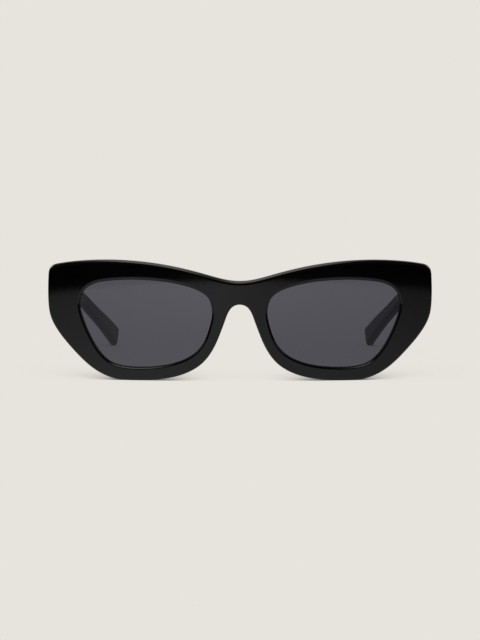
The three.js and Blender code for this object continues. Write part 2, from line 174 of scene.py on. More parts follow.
def spline(points, count, closed):
    """Evenly spaced points of a curve with smooth curvature through the given points."""
    knots = np.array(points, float)
    if closed:
        knots = np.vstack([knots, knots[:1]])
    steps = np.sqrt(np.linalg.norm(np.diff(knots, axis=0), axis=1))
    last = len(knots) - 1
    matrix = np.zeros((last + 1, last + 1))
    right = np.zeros_like(knots)
    slopes = np.diff(knots, axis=0) / steps[:, None]
    for i in range(1, last):
        matrix[i, i - 1:i + 2] = steps[i - 1], 2 * (steps[i - 1] + steps[i]), steps[i]
        right[i] = 6 * (slopes[i] - slopes[i - 1])
    if closed:
        matrix[0, [0, 1, last - 1]] = 2 * (steps[0] + steps[-1]), steps[0], steps[-1]
        right[0] = 6 * (slopes[0] - slopes[-1])
        matrix[last, [0, last]] = 1, -1
    else:
        matrix[0, 0] = matrix[last, last] = 1
    bends = np.linalg.solve(matrix, right)
    share = np.linspace(0, 1, CURVE_STEPS, endpoint=False)[:, None]
    dense = []
    for i in range(last):
        h, a, b = steps[i], 1 - share, share
        dense.append(
            a * knots[i] + b * knots[i + 1]
            + ((a ** 3 - a) * bends[i] + (b ** 3 - b) * bends[i + 1]) * h * h / 6
        )
    dense = np.vstack(dense + [knots[-1:]])
    lengths = np.append(0, np.cumsum(np.linalg.norm(np.diff(dense, axis=0), axis=1)))
    wanted = np.linspace(0, lengths[-1], count + 1)
    even = np.stack([np.interp(wanted, lengths, column) for column in dense.T], axis=1)
    return even[:-1] if closed else even


def outward(loop):
    """Unit normals of a closed counterclockwise loop, pointing out of it."""
    along = np.roll(loop, -1, axis=0) - np.roll(loop, 1, axis=0)
    along /= np.linalg.norm(along, axis=1)[:, None]
    return np.stack([along[:, 1], -along[:, 0]], axis=1)


def mirrored(points):
    return [(-x, z) for x, z in reversed(points)]


def rounded_rectangle(x_range, z_range, radius, corner_steps=8, side_steps=1):
    """A closed counterclockwise loop."""
    loop = []
    corners = (
        (x_range[1] - radius, z_range[0] + radius, -90),
        (x_range[1] - radius, z_range[1] - radius, 0),
        (x_range[0] + radius, z_range[1] - radius, 90),
        (x_range[0] + radius, z_range[0] + radius, 180),
    )
    for x, z, turn in corners:
        for angle in np.radians(np.linspace(turn, turn + 90, corner_steps + 1)):
            loop.append((x + radius * math.cos(angle), z + radius * math.sin(angle)))
    filled = []
    for number, point in enumerate(loop):
        filled.append(point)
        if number % (corner_steps + 1) == corner_steps:
            start, end = np.array(point), np.array(loop[(number + 1) % len(loop)])
            filled += [start + (end - start) * i / side_steps for i in range(1, side_steps)]
    return np.array(filled)


def is_inside(points, loop):
    """Which points lie inside a closed loop, by the even-odd rule."""
    x, z = points[:, :1], points[:, 1:2]
    ax, az = loop[:, 0], loop[:, 1]
    bx, bz = np.roll(ax, -1), np.roll(az, -1)
    crosses = (az > z) != (bz > z)
    safe = np.where(bz == az, 1, bz - az)
    reach = ax + (z - az) * (bx - ax) / safe
    return (crosses & (x < reach)).sum(axis=1) % 2 == 1


# ---------------------------------------------------------------- meshes

class Solid:
    """Collects vertices, their normals where they are known exactly, and faces."""

    def __init__(self):
        self.points = []
        self.normals = []
        self.faces = []

    def add(self, points, normals=None):
        """Adds vertices and returns their numbers."""
        first = len(self.points)
        self.points += [tuple(p) for p in points]
        if normals is None:
            normals = [(0, 0, 0)] * len(points)
        self.normals += [tuple(n) for n in normals]
        return list(range(first, len(self.points)))

    def bridge(self, one, other):
        """Joins two closed rings of the same length with quads."""
        count = len(one)
        for i in range(count):
            j = (i + 1) % count
            self.faces.append((one[i], one[j], other[j], other[i]))

    def bridge_all(self, rings, closed=False):
        for one, other in zip(rings, rings[1:]):
            self.bridge(one, other)
        if closed:
            self.bridge(rings[-1], rings[0])

    def fan(self, ring, centre):
        for i, number in enumerate(ring):
            self.faces.append((number, ring[(i + 1) % len(ring)], centre))

    def shifted(self, other):
        """Adds the faces of another solid."""
        first = len(self.points)
        self.points += other.points
        self.normals += other.normals
        self.faces += [tuple(i + first for i in face) for face in other.faces]


def piece(name, solid, body, node, look, side=1, sharp_degrees=40):
    """Makes an object of a solid in millimetres, mirrored if side is -1. Known normals are brought
    to unit length and used; a solid without any is smooth where it turns by less than sharp_degrees."""
    flip = np.array([side, 1, 1])
    data = bpy.data.meshes.new(name)
    points = np.array(solid.points) * flip * METRES
    data.from_pydata(points.tolist(), [], solid.faces)
    build = bmesh.new()
    build.from_mesh(data)
    bmesh.ops.recalc_face_normals(build, faces=build.faces)
    open_edges = sum(not edge.is_manifold for edge in build.edges)
    if open_edges:
        print("OPEN EDGES", name, open_edges)
    build.to_mesh(data)
    build.free()
    data.shade_smooth()
    known = np.array(solid.normals, dtype=float) * flip
    lengths = np.linalg.norm(known, axis=1)[:, None]
    known /= np.where(lengths == 0, 1, lengths)
    if np.any(known):
        data.normals_split_custom_set_from_vertices(known.tolist())
    else:
        data.set_sharp_from_angle(angle=math.radians(sharp_degrees))
    made = bpy.data.objects.new(name, data)
    bpy.context.scene.collection.objects.link(made)
    data.materials.append(look)
    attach(made, body)
    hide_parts(*([node] if isinstance(node, str) else node))
    return made


# ---------------------------------------------------------------- the front

OUTER_EDGE = [
    (42, 0), (47.35, 0.6), (53.05, 2.9), (58.3, 6.7), (63.85, 12.3), (68.6, 18.1), (71.5, 23.7),
    (72.3, 28.8), (72.4, 34.3), (72.25, 38.8), (71.95, 41.1), (70.75, 42.75), (68.2, 43.6),
    (61.95, 44.5), (51, 45.15), (39, 44.75), (27, 43.2), (15, 40.5), (6, 38.1),
]
NOSE_EDGE = [
    (2.5, 27.85), (4.3, 25.6), (5.55, 22.4), (7.2, 18), (9.05, 13.6), (11.9, 8.9), (15.6, 5.3),
    (20.95, 2.5), (27, 0.9), (34, 0.1),
]
BRIDGE_TOP_Z = 37.4
NOSE_ARCH_Z = 28.6
RIM_OPENING = [
    (10.35, 25.35), (10.95, 21.55), (12.65, 16.2), (15.6, 11.55), (20.25, 8.15), (27.8, 5.75),
    (35.3, 4.95), (42.85, 5.15), (48.65, 6.85), (52.75, 10.6), (56.05, 15.9), (58.75, 22.05),
    (60.2, 27.4), (59.9, 31.1), (58.2, 33.9), (54.8, 36.05), (50.25, 37.1), (42.8, 37.7),
    (35.3, 37.65), (27.8, 37), (20.3, 35.5), (14.7, 33.4), (11.4, 30.4),
]


def front_sag(x):
    return FRONT_BEND_RADIUS - np.sqrt(FRONT_BEND_RADIUS ** 2 - np.square(x))


def front_slope(x):
    return x / np.sqrt(FRONT_BEND_RADIUS ** 2 - np.square(x))


def bent(flat, depth, normal):
    """Places points of the flat sheet (x, z) at a depth behind the bent front face, with normals."""
    points = np.stack([flat[:, 0], FRONT_Y + front_sag(flat[:, 0]) + depth, flat[:, 1]], axis=1)
    turned = normal.copy()
    turned[:, 0] -= front_slope(flat[:, 0]) * normal[:, 1]
    return points, turned


def rounded_edge(front_edge, back_edge, between=()):
    """An edge's profile from front to back: distance in, depth, and the normal's outward and forward
    parts. The roundings' widths and depths may be arrays, one value for each point of the loop."""
    profile = []
    for angle in np.radians(np.linspace(0, 90, EDGE_STEPS)):
        width, depth = front_edge
        profile.append((
            width * (1 - math.sin(angle)), depth * (1 - math.cos(angle)),
            math.sin(angle) / width, math.cos(angle) / depth,
        ))
    profile += between
    for angle in np.radians(np.linspace(90, 0, EDGE_STEPS)):
        width, depth = back_edge
        profile.append((
            width * (1 - math.sin(angle)), FRONT_THICKNESS - depth * (1 - math.cos(angle)),
            math.sin(angle) / width, -math.cos(angle) / depth,
        ))
    return profile


def edge_rings(solid, loop, away, profile):
    """Lays an edge's profile round a loop and returns the rings from front to back."""
    rings = []
    for distance, depth, out, forward in profile:
        flat = loop - away * np.reshape(distance, (-1, 1))
        ahead = np.broadcast_to(-forward, len(loop))
        normal = np.stack([away[:, 0] * out, ahead, away[:, 1] * out], axis=1)
        rings.append(solid.add(*bent(flat, depth, normal)))
    solid.bridge_all(rings)
    return rings


def varied_edge(plain, upper, facing, start):
    """A front rounding for each point of a loop: the plain one, turning into the upper one where the
    upward part of the edge's normal passes start."""
    share = np.clip((facing - start) / (UPPER_EDGE_FROM - start), 0, 1)
    share = share * share * (3 - 2 * share)
    return [plain[i] + (upper[i] - plain[i]) * share for i in (0, 1)]


def fill_face(solid, outer, holes, depth, forward):
    """Fills the face between rings of the solid with an even net of triangles on the bent sheet."""
    numbers = list(outer) + [n for hole in holes for n in hole]
    flat = np.array([(solid.points[n][0], solid.points[n][2]) for n in numbers])
    loops, edges, first = [], [], 0
    for ring in [outer] + list(holes):
        count = len(ring)
        loops.append(flat[first:first + count])
        edges += [(first + i, first + (i + 1) % count) for i in range(count)]
        first += count
    low, high = flat.min(axis=0), flat.max(axis=0)
    first_column, last_column = math.ceil(low[0] / FACE_STEP), math.floor(high[0] / FACE_STEP)
    columns = np.arange(first_column, last_column + 1) * FACE_STEP
    heights = np.arange(low[1], high[1], FACE_STEP)
    net = np.array([(x, z + (i % 2) * FACE_STEP / 2) for i, x in enumerate(columns) for z in heights])
    keep = is_inside(net, loops[0])
    for loop in loops[1:]:
        keep &= ~is_inside(net, loop)
    gap = np.linalg.norm(net[:, None] - flat[None], axis=2).min(axis=1)
    net = net[keep & (gap > FACE_STEP / 2)]
    inner = solid.add(*bent(net, depth, np.tile([0.0, -forward, 0.0], (len(net), 1))))
    numbers += inner
    everything = np.vstack([flat, net])
    found = delaunay_2d_cdt([Vector(p) for p in everything], edges, [], 1, 1e-6)
    faces = np.array(found[2])
    origin = [ids[0] for ids in found[3]]
    middles = everything[np.array(origin)[faces]].mean(axis=1)
    good = is_inside(middles, loops[0])
    for loop in loops[1:]:
        good &= ~is_inside(middles, loop)
    solid.faces += [tuple(numbers[origin[i]] for i in face) for face in faces[good]]


def tilted(away, out, back):
    """Normals that point out by one share and back by the other."""
    return np.stack([away[:, 0] * out, np.full(len(away), back), away[:, 1] * out], axis=1)


def end_block(solid, side):
    """The raised flat block behind an outer corner. Returns the ring where it leaves the sheet."""
    loop = rounded_rectangle(BLOCK_X, BLOCK_Z, BLOCK_CORNER, side_steps=8)
    if side < 0:
        loop = (loop * [-1, 1])[::-1]
    away = outward(loop)
    top = FRONT_BACK_Y - FRONT_Y
    rings = []
    fillet = np.radians(np.linspace(0, 90, BLOCK_FILLET_STEPS))
    for angle in fillet:
        flat = loop + away * BLOCK_FILLET * (1 - math.sin(angle))
        depth = FRONT_THICKNESS + BLOCK_FILLET * (1 - math.cos(angle))
        normal = tilted(away, math.sin(angle), math.cos(angle))
        rings.append(solid.add(*bent(flat, depth, normal)))
    for angle in fillet:
        flat = loop - away * BLOCK_FILLET * (1 - math.cos(angle))
        depth = top - BLOCK_FILLET * (1 - math.sin(angle))
        points = np.stack([flat[:, 0], np.full(len(loop), FRONT_Y + depth), flat[:, 1]], axis=1)
        rings.append(solid.add(points, tilted(away, math.cos(angle), math.sin(angle))))
    solid.bridge_all(rings)
    solid.faces.append(tuple(rings[-1]))
    return rings[0]


def front_outline():
    half = OUTER_EDGE + [(0, BRIDGE_TOP_Z)] + mirrored(OUTER_EDGE)
    nose = mirrored(NOSE_EDGE) + [(0, NOSE_ARCH_Z)] + NOSE_EDGE
    return spline(half + nose, OUTLINE_POINTS, True)


def rim_opening():
    return spline(RIM_OPENING, OPENING_POINTS, True)


def front_solid():
    solid = Solid()
    outline = front_outline()
    away = outward(outline)
    edge = varied_edge(OUTER_EDGE_FRONT, BROW_EDGE_FRONT, away[:, 1], BROW_TURNS_FROM)
    outer = edge_rings(solid, outline, away, rounded_edge(edge, OUTER_EDGE_BACK))
    groove_front = LENS_RECESS + LENS_THICKNESS / 2 - GROOVE_WIDTH / 2
    groove = [
        (0, groove_front, 1, 0),
        (GROOVE_DEPTH, groove_front + (GROOVE_WIDTH - GROOVE_FLAT) / 2, 1, 0),
        (GROOVE_DEPTH, groove_front + (GROOVE_WIDTH + GROOVE_FLAT) / 2, 1, 0),
        (0, groove_front + GROOVE_WIDTH, 1, 0),
    ]
    opening = rim_opening()
    rims = []
    for side in SIDES.values():
        loop = opening if side > 0 else (opening * [-1, 1])[::-1]
        away = outward(loop)
        edge = varied_edge(RIM_EDGE_FRONT, RIM_TOP_EDGE_FRONT, away[:, 1], RIM_TURNS_FROM)
        rims.append(edge_rings(solid, loop, -away, rounded_edge(edge, RIM_EDGE_BACK, groove)))
    blocks = [end_block(solid, side) for side in SIDES.values()]
    fill_face(solid, outer[0], [rim[0] for rim in rims], 0, 1)
    fill_face(solid, outer[-1], [rim[-1] for rim in rims] + blocks, FRONT_THICKNESS, -1)
    return solid


# ---------------------------------------------------------------- the lenses

def lens_solid():
    solid = Solid()
    loop = rim_opening()
    away = outward(loop)
    middle = loop.mean(axis=0)
    shares = np.sin(np.linspace(0, math.pi / 2, LENS_RINGS + 1))[1:]
    rings = {}
    centres = {}
    for face, depth in ((1, LENS_RECESS), (-1, LENS_RECESS + LENS_THICKNESS)):
        rings[face] = []
        for share in shares:
            flat = middle + (loop + away * LENS_FACE_BITE - middle) * share
            normal = np.tile([0.0, -face, 0.0], (len(flat), 1))
            rings[face].append(solid.add(*bent(flat, depth, normal)))
        centres[face] = solid.add(*bent(middle[None], depth, np.array([[0.0, -face, 0.0]])))[0]
    flat = loop + away * LENS_BITE
    depth = LENS_RECESS + LENS_THICKNESS / 2
    apex = solid.add(*bent(flat, depth, tilted(away, 1, 0)))
    for face in (1, -1):
        solid.fan(rings[face][0], centres[face])
        solid.bridge_all(rings[face])
        solid.bridge(rings[face][-1], apex)
    return solid


# ---------------------------------------------------------------- the nose pads

PAD_LOW_Z = 9.35
PAD_LOW_X = 11.7
PAD_LEAN = 0.4536
PAD_FLARE = 0.17
PAD_WIDTH = 3.0
PAD_BASE_Y = FRONT_Y + 3.6
PAD_SIDE = [
    (PAD_BASE_Y, 8.95), (FRONT_Y + 7.6, 9.85), (FRONT_Y + 10.6, 12.75), (FRONT_Y + 11.5, 16.15),
    (FRONT_Y + 10.3, 19.85), (FRONT_Y + 7.6, 22.75), (PAD_BASE_Y, 23.95),
]
PAD_MIDDLE = (FRONT_Y + 6.4, 16.25)
PAD_SIDE_POINTS = 56
PAD_BASE_POINTS = 16
PAD_RINGS = 29
PAD_TURN = 84  # the pillow's rings run from minus to plus this angle
PAD_ROUND = 0.42  # a smaller power makes the pillow's faces fuller
PAD_SPREAD = 0.9


def pad_solid():
    """A pillow on the pad's side outline, leaning with the nose and flaring towards the face."""
    solid = Solid()
    rear = spline(PAD_SIDE, PAD_SIDE_POINTS, False)
    base = np.linspace(rear[-1], rear[0], PAD_BASE_POINTS + 2)[1:-1]
    loop = np.vstack([rear, base])
    middle = np.array(PAD_MIDDLE)
    rings = []
    widest = math.sin(math.radians(PAD_TURN)) ** PAD_SPREAD
    for angle in np.radians(np.linspace(-PAD_TURN, PAD_TURN, PAD_RINGS)):
        share = abs(math.cos(angle)) ** PAD_ROUND
        flat = middle + (loop - middle) * share
        spread = abs(math.sin(angle)) ** PAD_SPREAD / widest
        across = PAD_WIDTH / 2 * math.copysign(spread, angle)
        lean = PAD_LOW_X - PAD_LEAN * (flat[:, 1] - PAD_LOW_Z) + PAD_FLARE * (flat[:, 0] - PAD_BASE_Y)
        rings.append(solid.add(np.stack([lean + PAD_WIDTH / 2 + across, flat[:, 0], flat[:, 1]], axis=1)))
    solid.bridge_all(rings)
    for ring in (rings[0], rings[-1]):
        centre = np.mean([solid.points[n] for n in ring], axis=0)
        solid.fan(ring, solid.add([centre])[0])
    return solid


# ---------------------------------------------------------------- the temples

# Depth behind the front, height above the table and tallness, down the temple's middle.
TEMPLE_LINE = [
    (12, 35.7, 13.7), (30, 33.9, 10.2), (50, 31.5, 7.3), (77.5, 28.4, 5.5), (102.8, 25.15, 5.05),
    (118.2, 19.75, 5.7), (131.4, 14.65, 6.3), (144.6, 9.45, 7.4), (158.1, 3.6, 8.7),
]


def temple_bend(y):
    """How far the temple has moved inwards at a depth."""
    start, end = TEMPLE_BEND_Y
    run = np.clip(y - start, 0, end - start)
    rise = np.sqrt(TEMPLE_BEND_RADIUS ** 2 - run * run)
    return TEMPLE_BEND_RADIUS - rise + np.maximum(y - end, 0) * run / rise


def temple_sections():
    """Way along the temple, depth, height, slope and tallness from the butt to the tip."""
    line = spline(TEMPLE_LINE, TEMPLE_CURVE_POINTS, False)
    slope = np.arctan2(np.gradient(line[:, 1]), np.gradient(line[:, 0]))
    depth = line[:, 0] + FRONT_Y
    used = depth >= TEMPLE_FRONT_Y
    depth, height, tall, slope = depth[used], line[used, 1], line[used, 2], slope[used]
    depth[0] = TEMPLE_FRONT_Y
    upright = np.clip((depth - TEMPLE_FRONT_Y) / TEMPLE_UPRIGHT_RUN, 0, 1)
    slope = slope * upright * upright * (3 - 2 * upright)
    along = np.append(0, np.cumsum(np.hypot(np.diff(depth), np.diff(height))))
    return along, depth, height, slope, tall


def temple_solid():
    solid = Solid()
    along, depth, height, slope, tall = temple_sections()
    length = along[-1]
    butt, tip = TEMPLE_BUTT_ROUNDING, TEMPLE_END_ROUNDING
    places = [
        (butt * (1 - math.cos(a)), butt * (1 - math.sin(a)))
        for a in np.radians([0, 22, 45, 67, 90])
    ]
    places += [(place, 0) for place in np.linspace(butt, length - tip, TEMPLE_LENGTH_STEPS)[1:-1]]
    places += [
        (length - tip + tip * math.sin(a), tip * (1 - math.cos(a)))
        for a in np.radians(np.linspace(0, 90, TEMPLE_END_STEPS))
    ]
    rings = []
    for place, inset in places:
        y, z, angle, h = (np.interp(place, along, column) for column in (depth, height, slope, tall))
        share = place / length
        width = TEMPLE_THICKNESS + (TEMPLE_TIP_THICKNESS - TEMPLE_THICKNESS) * share
        rounding = max(TEMPLE_ROUNDING - inset, TEMPLE_LEAST_ROUNDING)
        half_w, half_h = width / 2 - inset, h / 2 - inset
        loop = rounded_rectangle(
            (-half_w, half_w), (-half_h, half_h), rounding, corner_steps=7, side_steps=6
        )
        on_side = np.abs(loop[:, 0]) > half_w - 0.01
        crown = TEMPLE_CROWN * (1 - np.square(loop[:, 1] / half_h)) * np.sign(loop[:, 0]) * on_side
        ys = y - loop[:, 1] * math.sin(angle)
        zs = z + loop[:, 1] * math.cos(angle)
        xs = TEMPLE_MIDDLE_X + loop[:, 0] + crown - temple_bend(ys)
        rings.append(solid.add(np.stack([xs, ys, zs], axis=1)))
    solid.bridge_all(rings)
    for ring in (rings[0], rings[-1]):
        solid.faces.append(tuple(ring))
    return solid


def core_wire_solid():
    """The end of the wire that shows in the temple's butt, and its run inside the temple."""
    solid = Solid()
    along, depth, height, slope, _ = temple_sections()
    half_width, half_height = WIRE_HALF
    rings = []
    for place in np.append([-LEAF_PROUD, 0.1], np.linspace(2, along[-1] * WIRE_SHARE, WIRE_STEPS)):
        y, z, angle = (np.interp(place, along, column) for column in (depth, height, slope))
        y += min(place, 0)
        loop = rounded_rectangle(
            (-half_width, half_width), (-half_height, half_height), WIRE_CORNER, corner_steps=3
        )
        ys = y - loop[:, 1] * math.sin(angle)
        zs = z + loop[:, 1] * math.cos(angle)
        xs = TEMPLE_MIDDLE_X + WIRE_OFFSET_X + loop[:, 0] - temple_bend(ys)
        rings.append(solid.add(np.stack([xs, ys, zs], axis=1)))
    solid.bridge_all(rings)
    for ring in (rings[0], rings[-1]):
        solid.faces.append(tuple(ring))
    return solid


# ---------------------------------------------------------------- the hinge

def plate_solid(loop, low, high, bevel, place):
    """A flat plate with softened edges. place turns (u, v, height) into a point."""
    solid = Solid()
    away = outward(loop)
    rings = []
    for level, sign in ((low, 1), (high, -1)):
        steps = [(0, 1), (0.3, 0.3), (1, 0)] if sign > 0 else [(1, 0), (0.3, 0.3), (0, 1)]
        for rise, inset in steps:
            flat = loop - away * bevel * inset
            rings.append(solid.add([place(u, v, level + sign * bevel * rise) for u, v in flat]))
    solid.bridge_all(rings)
    for ring in (rings[0], rings[-1]):
        solid.faces.append(tuple(ring))
    return solid


def barrel_solid(level, turn):
    """One barrel and the web to its leaf. The web leaves towards -Y before the turn."""
    below = math.acos(BARREL_WEB / 2 / BARREL_RADIUS)
    foot = HINGE_STANDOFF + LEAF_THICKNESS / 2
    outer = [
        (BARREL_RADIUS * math.cos(a), BARREL_RADIUS * math.sin(a))
        for a in np.linspace(-below, math.pi + below, BARREL_STEPS)
    ]
    web = [(-BARREL_WEB / 2, -foot), (0, -foot), (BARREL_WEB / 2, -foot)]
    outer = np.array(outer + web)
    angles = np.arctan2(outer[:, 1], outer[:, 0])
    hole = np.stack([PIN_HOLE_RADIUS * np.cos(angles), PIN_HOLE_RADIUS * np.sin(angles)], axis=1)
    away = outward(outer)
    inward = -outward(hole)
    bottom = HINGE_Z + (level - (BARREL_COUNT - 1) / 2) * BARREL_PITCH - BARREL_HEIGHT / 2
    top = bottom + BARREL_HEIGHT
    bevel, chamfer = BARREL_BEVEL, BARREL_BEVEL * 0.3
    solid = Solid()

    def ring(loop, normal, inset, z):
        flat = loop - normal * inset
        x = flat[:, 0] * math.cos(turn) - flat[:, 1] * math.sin(turn)
        y = flat[:, 0] * math.sin(turn) + flat[:, 1] * math.cos(turn)
        return solid.add(np.stack([HINGE_X + x, HINGE_Y + y, np.full(len(x), z)], axis=1))

    rings = [
        ring(outer, away, bevel, bottom), ring(outer, away, chamfer, bottom + chamfer),
        ring(outer, away, 0, bottom + bevel), ring(outer, away, 0, top - bevel),
        ring(outer, away, chamfer, top - chamfer), ring(outer, away, bevel, top),
        ring(hole, inward, bevel, top), ring(hole, inward, 0, top - bevel),
        ring(hole, inward, 0, bottom + bevel), ring(hole, inward, bevel, bottom),
    ]
    solid.bridge_all(rings, closed=True)
    return solid


def front_leaf_solid():
    across = (FRONT_LEAF_MIDDLE_X - FRONT_LEAF_HALF_WIDTH, FRONT_LEAF_MIDDLE_X + FRONT_LEAF_HALF_WIDTH)
    loop = rounded_rectangle(across, LEAF_Z, LEAF_CORNER)
    back = FRONT_LEAF_BACK_Y
    solid = plate_solid(loop, back - LEAF_THICKNESS, back, LEAF_BEVEL, lambda u, v, h: (u, h, v))
    for level in (0, 2, 4):
        solid.shifted(barrel_solid(level, 0))
    return solid


def temple_leaf_solid():
    loop = rounded_rectangle(TEMPLE_LEAF_Y, LEAF_Z, LEAF_CORNER)
    face = TEMPLE_LEAF_FACE_X
    solid = plate_solid(loop, face, face + LEAF_THICKNESS, LEAF_BEVEL, lambda u, v, h: (h, u, v))
    for level in (1, 3):
        solid.shifted(barrel_solid(level, math.pi / 2))
    return solid


def turned_solid(profile, place, around=32):
    """A solid of revolution from (radius, height) points. place turns (x, y, height) into a point."""
    solid = Solid()
    angles = np.linspace(0, 2 * math.pi, around, endpoint=False)
    rings = [
        solid.add([place(r * math.cos(a), r * math.sin(a), h) for a in angles])
        for r, h in profile[1:-1]
    ]
    solid.bridge_all(rings)
    solid.fan(rings[0], solid.add([place(0, 0, profile[0][1])])[0])
    solid.fan(rings[-1], solid.add([place(0, 0, profile[-1][1])])[0])
    return solid


def on_hinge_axis(x, y, height):
    return HINGE_X + x, HINGE_Y + y, height


def screw_solid():
    """A shank under a head whose two halves leave a slot between them."""
    bottom = HINGE_Z - STACK_HEIGHT / 2
    seat = HINGE_Z + STACK_HEIGHT / 2 + SCREW_SEAT_GAP
    slot_floor = seat + SCREW_HEAD_HEIGHT - SCREW_SLOT_DEPTH
    shank, head = SCREW_RADIUS, SCREW_HEAD_RADIUS
    taper, edge = SCREW_TAPER, SCREW_EDGE
    profile = [
        (0, bottom), (shank - taper, bottom), (shank, bottom + taper), (shank, seat - edge),
        (shank + edge / 2, seat), (head - edge, seat), (head, seat + edge), (head, slot_floor),
        (head / 2, slot_floor), (0, slot_floor),
    ]
    solid = turned_solid(profile, on_hinge_axis, SCREW_STEPS)
    start = math.asin(SCREW_SLOT_WIDTH / 2 / SCREW_HEAD_RADIUS)
    angles = np.linspace(start, math.pi - start, SCREW_STEPS // 2)
    half = SCREW_HEAD_RADIUS * np.stack([np.cos(angles), np.sin(angles)], axis=1)
    low, high = slot_floor - 0.05, seat + SCREW_HEAD_HEIGHT
    for turned in (half, -half):
        solid.shifted(plate_solid(turned, low, high, SCREW_HEAD_BEVEL, on_hinge_axis))
    return solid


# ---------------------------------------------------------------- materials

PLASTIC_IOR = 1.49


def new_material(name):
    made = bpy.data.materials.new(name)
    made.use_nodes = True
    nodes = made.node_tree.nodes
    nodes.clear()
    return made, nodes, made.node_tree.links


def math_node(nodes, links, operation, *values):
    node = nodes.new("ShaderNodeMath")
    node.operation = operation
    for socket, value in zip(node.inputs, values):
        if isinstance(value, (int, float)):
            socket.default_value = value
        else:
            links.new(value, socket)
    return node.outputs[0]


def combined(nodes, links, operation, first, *others):
    """Applies an operation along a row of values."""
    for other in others:
        first = math_node(nodes, links, operation, first, other)
    return first


def less_than_one(nodes, links, value):
    """What is left of 1 once the value is taken off."""
    return math_node(nodes, links, "SUBTRACT", 1.0, value)


def noise(nodes, links, place, scale, detail=2.0):
    made = nodes.new("ShaderNodeTexNoise")
    made.inputs["Scale"].default_value = scale
    made.inputs["Detail"].default_value = detail
    links.new(place, made.inputs["Vector"])
    return made.outputs["Fac"]


def spread_over(nodes, links, value, low, high):
    """Stretches a value of 0 to 1 over a range."""
    node = nodes.new("ShaderNodeMapRange")
    links.new(value, node.inputs["Value"])
    node.inputs["To Min"].default_value = low
    node.inputs["To Max"].default_value = high
    return node.outputs["Result"]


def smooth_step(nodes, links, value, low, high, to_low=0.0, to_high=1.0):
    node = nodes.new("ShaderNodeMapRange")
    node.interpolation_type = "SMOOTHSTEP"
    links.new(value, node.inputs["Value"])
    node.inputs["From Min"].default_value = low
    node.inputs["From Max"].default_value = high
    node.inputs["To Min"].default_value = to_low
    node.inputs["To Max"].default_value = to_high
    return node.outputs["Result"]


ACETATE_CLOUDS = 90  # noise scales, per metre
ACETATE_MARKS = 900
ACETATE_DEEP = (0.35, (0.0007, 0.0007, 0.0009))  # where in the clouds it starts, and its colour
ACETATE_PALER = (0.75, (0.0015, 0.0015, 0.0016))
ACETATE_ROUGHNESS = (0.02, 0.06)


def acetate_material():
    """Polished black acetate: deep black, a trace of depth variation, faint polishing marks."""
    made, nodes, links = new_material("black_acetate")
    out = nodes.new("ShaderNodeOutputMaterial")
    shader = nodes.new("ShaderNodeBsdfPrincipled")
    place = nodes.new("ShaderNodeTexCoord").outputs["Object"]
    ramp = nodes.new("ShaderNodeValToRGB")
    for stop, (position, color) in zip(ramp.color_ramp.elements, (ACETATE_DEEP, ACETATE_PALER)):
        stop.position = position
        stop.color = (*color, 1)
    marks = noise(nodes, links, place, ACETATE_MARKS, 6)
    links.new(noise(nodes, links, place, ACETATE_CLOUDS, 3), ramp.inputs["Fac"])
    links.new(ramp.outputs["Color"], shader.inputs["Base Color"])
    links.new(spread_over(nodes, links, marks, *ACETATE_ROUGHNESS), shader.inputs["Roughness"])
    shader.inputs["IOR"].default_value = PLASTIC_IOR
    links.new(shader.outputs["BSDF"], out.inputs["Surface"])
    return made


LENS_PASS = (0.0893, 0.0897, 0.1137)  # share of red, green and blue light the lens lets through
LENS_PAINTED_SHADE_GAIN = 1.22  # painted shade: the lens passes more light at the top than lower down, where the shaded table shows through it
LENS_PAINTED_SHADE_Z = (0.008, 0.036)
LENS_DYE_CLOUDS = 60
LENS_DYE_UNEVEN = 0.2
LENS_ROUGHNESS = 0.01


def lens_material():
    """Smoke lens: each surface passes the square root of what the lens passes, and mirrors a little.
    Rays go through unbent, so the back of each surface mirrors like its front."""
    made, nodes, links = new_material("smoke_lens")
    out = nodes.new("ShaderNodeOutputMaterial")
    mix = nodes.new("ShaderNodeMixShader")
    through = nodes.new("ShaderNodeBsdfTransparent")
    mirror = nodes.new("ShaderNodeBsdfGlossy")
    fresnel = nodes.new("ShaderNodeFresnel")
    facing = nodes.new("ShaderNodeNewGeometry")
    place = nodes.new("ShaderNodeTexCoord").outputs["Object"]
    split = nodes.new("ShaderNodeSeparateXYZ")
    tint = nodes.new("ShaderNodeValToRGB")
    for stop, gain in zip(tint.color_ramp.elements, (1, LENS_PAINTED_SHADE_GAIN)):
        stop.color = (*(math.sqrt(share * gain) for share in LENS_PASS), 1)
    mirror.inputs["Roughness"].default_value = LENS_ROUGHNESS
    back_change = 1 / PLASTIC_IOR - PLASTIC_IOR
    change = math_node(nodes, links, "MULTIPLY", facing.outputs["Backfacing"], back_change)
    links.new(math_node(nodes, links, "ADD", change, PLASTIC_IOR), fresnel.inputs["IOR"])
    links.new(place, split.inputs["Vector"])
    # Painted shade: the lens passes more light higher up, so its lower part stands darker for the shaded
    # table behind it. The clouds add uneven tint.
    height = smooth_step(nodes, links, split.outputs["Z"], *LENS_PAINTED_SHADE_Z)
    clouds = noise(nodes, links, place, LENS_DYE_CLOUDS)
    uneven = math_node(nodes, links, "SUBTRACT", clouds, 0.5)
    tint_and_painted_shade = math_node(nodes, links, "MULTIPLY_ADD", uneven, LENS_DYE_UNEVEN, height)
    links.new(tint_and_painted_shade, tint.inputs["Fac"])
    links.new(tint.outputs["Color"], through.inputs["Color"])
    links.new(fresnel.outputs["Fac"], mix.inputs["Fac"])
    links.new(through.outputs["BSDF"], mix.inputs[1])
    links.new(mirror.outputs["BSDF"], mix.inputs[2])
    links.new(mix.outputs["Shader"], out.inputs["Surface"])
    return made


METAL_GRAIN_STRETCH = (1, 1, 12)
METAL_BUMP_STRENGTH = 0.07
METAL_BUMP_DEPTH = 0.00002


